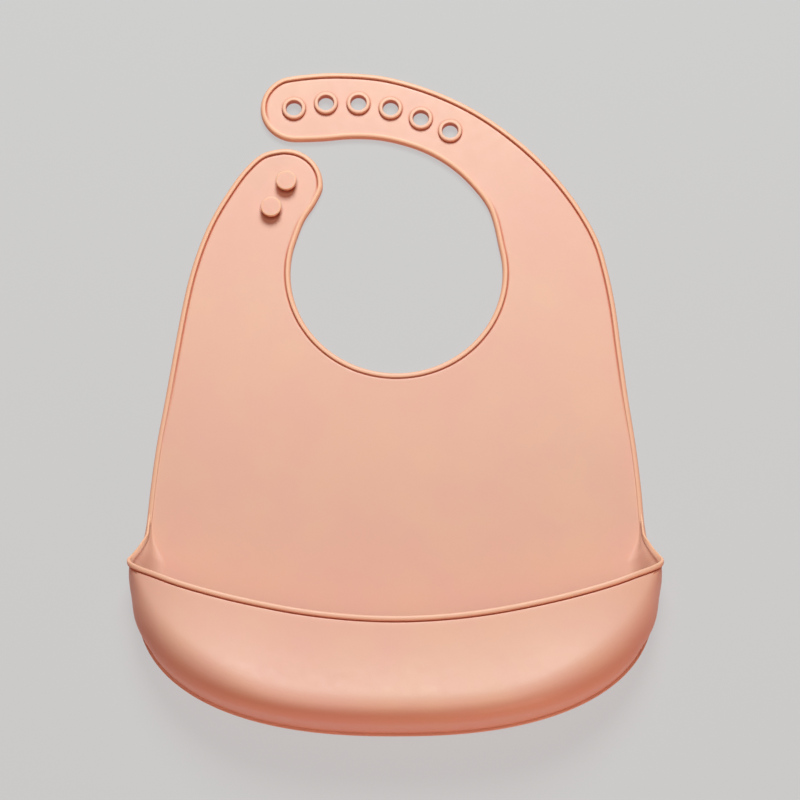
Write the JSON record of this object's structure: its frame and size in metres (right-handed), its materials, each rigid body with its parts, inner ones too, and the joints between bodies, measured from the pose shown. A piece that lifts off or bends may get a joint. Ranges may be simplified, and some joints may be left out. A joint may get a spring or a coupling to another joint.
{
  "type": "silicone bib",
  "caption": "Soft silicone baby bib: rounded panel with a raised bead edge, deep catch-all pocket, and neck straps that fasten with button studs through ringed eyelets.",
  "frame": {"origin": "under the middle of the bib, on the plane that its flat back lies on", "axes": "+Y from the pocket towards the neck, +Z out of the front face, +X to the right seen from the front"},
  "size_m": [0.2338, 0.3119, 0.0317],
  "materials": {
    "silicone": "matte peach silicone"
  },
  "bodies": {
    "base": {"lower_panel": "silicone", "pocket_floor": "silicone", "pocket_left_wall": "silicone", "pocket_right_wall": "silicone", "left_wing_rim": "silicone", "right_wing_rim": "silicone"},
    "pocket_flap": {"pocket_front": "silicone", "pocket_lip": "silicone"},
    "upper": {"upper_panel": "silicone"},
    "hole_strap_root": {"hole_strap_shoulder": "silicone"},
    "hole_strap_first": {"hole_strap_inner": "silicone", "eyelet_5": "silicone", "eyelet_6": "silicone"},
    "hole_strap_second": {"hole_strap_middle": "silicone", "eyelet_3": "silicone", "eyelet_4": "silicone"},
    "hole_strap_end": {"hole_strap_tip": "silicone", "eyelet_1": "silicone", "eyelet_2": "silicone"},
    "stud_strap_root": {"stud_strap_shoulder": "silicone"},
    "stud_strap_end": {"stud_strap_tip": "silicone", "upper_stud": "silicone", "lower_stud": "silicone"}
  },
  "joints": [
    {"name": "pocket_mouth", "type": "hinge", "parent": "base", "child": "pocket_flap", "pos_m": [0, -0.135, 0.0295], "axis": [1, 0, 0], "range_deg": [-15, 15], "stiffness_Nm_per_rad": 0.4},
    {"name": "panel_bend", "type": "hinge", "parent": "base", "child": "upper", "pos_m": [0, -0.034, 0.0018], "axis": [1, 0, 0], "range_deg": [0, 70], "stiffness_Nm_per_rad": 0.1},
    {"name": "hole_strap_lift", "type": "hinge", "parent": "upper", "child": "hole_strap_root", "pos_m": [0.064, 0.0877, 0.0018], "axis": [0.9672, 0.2541, 0], "range_deg": [0, 50], "stiffness_Nm_per_rad": 0.05},
    {"name": "hole_strap_curl", "type": "hinge", "parent": "hole_strap_root", "child": "hole_strap_first", "pos_m": [0.033, 0.1218, 0.0018], "axis": [0.475, 0.88, 0], "range_deg": [0, 25], "stiffness_Nm_per_rad": 0.03},
    {"name": "hole_strap_curl_middle", "type": "hinge", "parent": "hole_strap_first", "child": "hole_strap_second", "pos_m": [0.00465, 0.1352, 0.0018], "axis": [0.3461, 0.9382, 0], "range_deg": [0, 25], "stiffness_Nm_per_rad": 0.03},
    {"name": "hole_strap_curl_tip", "type": "hinge", "parent": "hole_strap_second", "child": "hole_strap_end", "pos_m": [-0.025, 0.1403, 0.0018], "axis": [0, 1, 0], "range_deg": [0, 25], "stiffness_Nm_per_rad": 0.03},
    {"name": "stud_strap_lift", "type": "hinge", "parent": "upper", "child": "stud_strap_root", "pos_m": [-0.071, 0.058, 0.0018], "axis": [0.9508, -0.3099, 0], "range_deg": [0, 45], "stiffness_Nm_per_rad": 0.05},
    {"name": "stud_strap_curl", "type": "hinge", "parent": "stud_strap_root", "child": "stud_strap_end", "pos_m": [-0.062, 0.0797, 0.0018], "axis": [0.8944, -0.4472, 0], "range_deg": [0, 30], "stiffness_Nm_per_rad": 0.03}
  ],
  "couplings": [
    {"joint": "hole_strap_curl_middle", "follows": "hole_strap_curl", "ratio": 1},
    {"joint": "hole_strap_curl_tip", "follows": "hole_strap_curl", "ratio": 1}
  ]
}
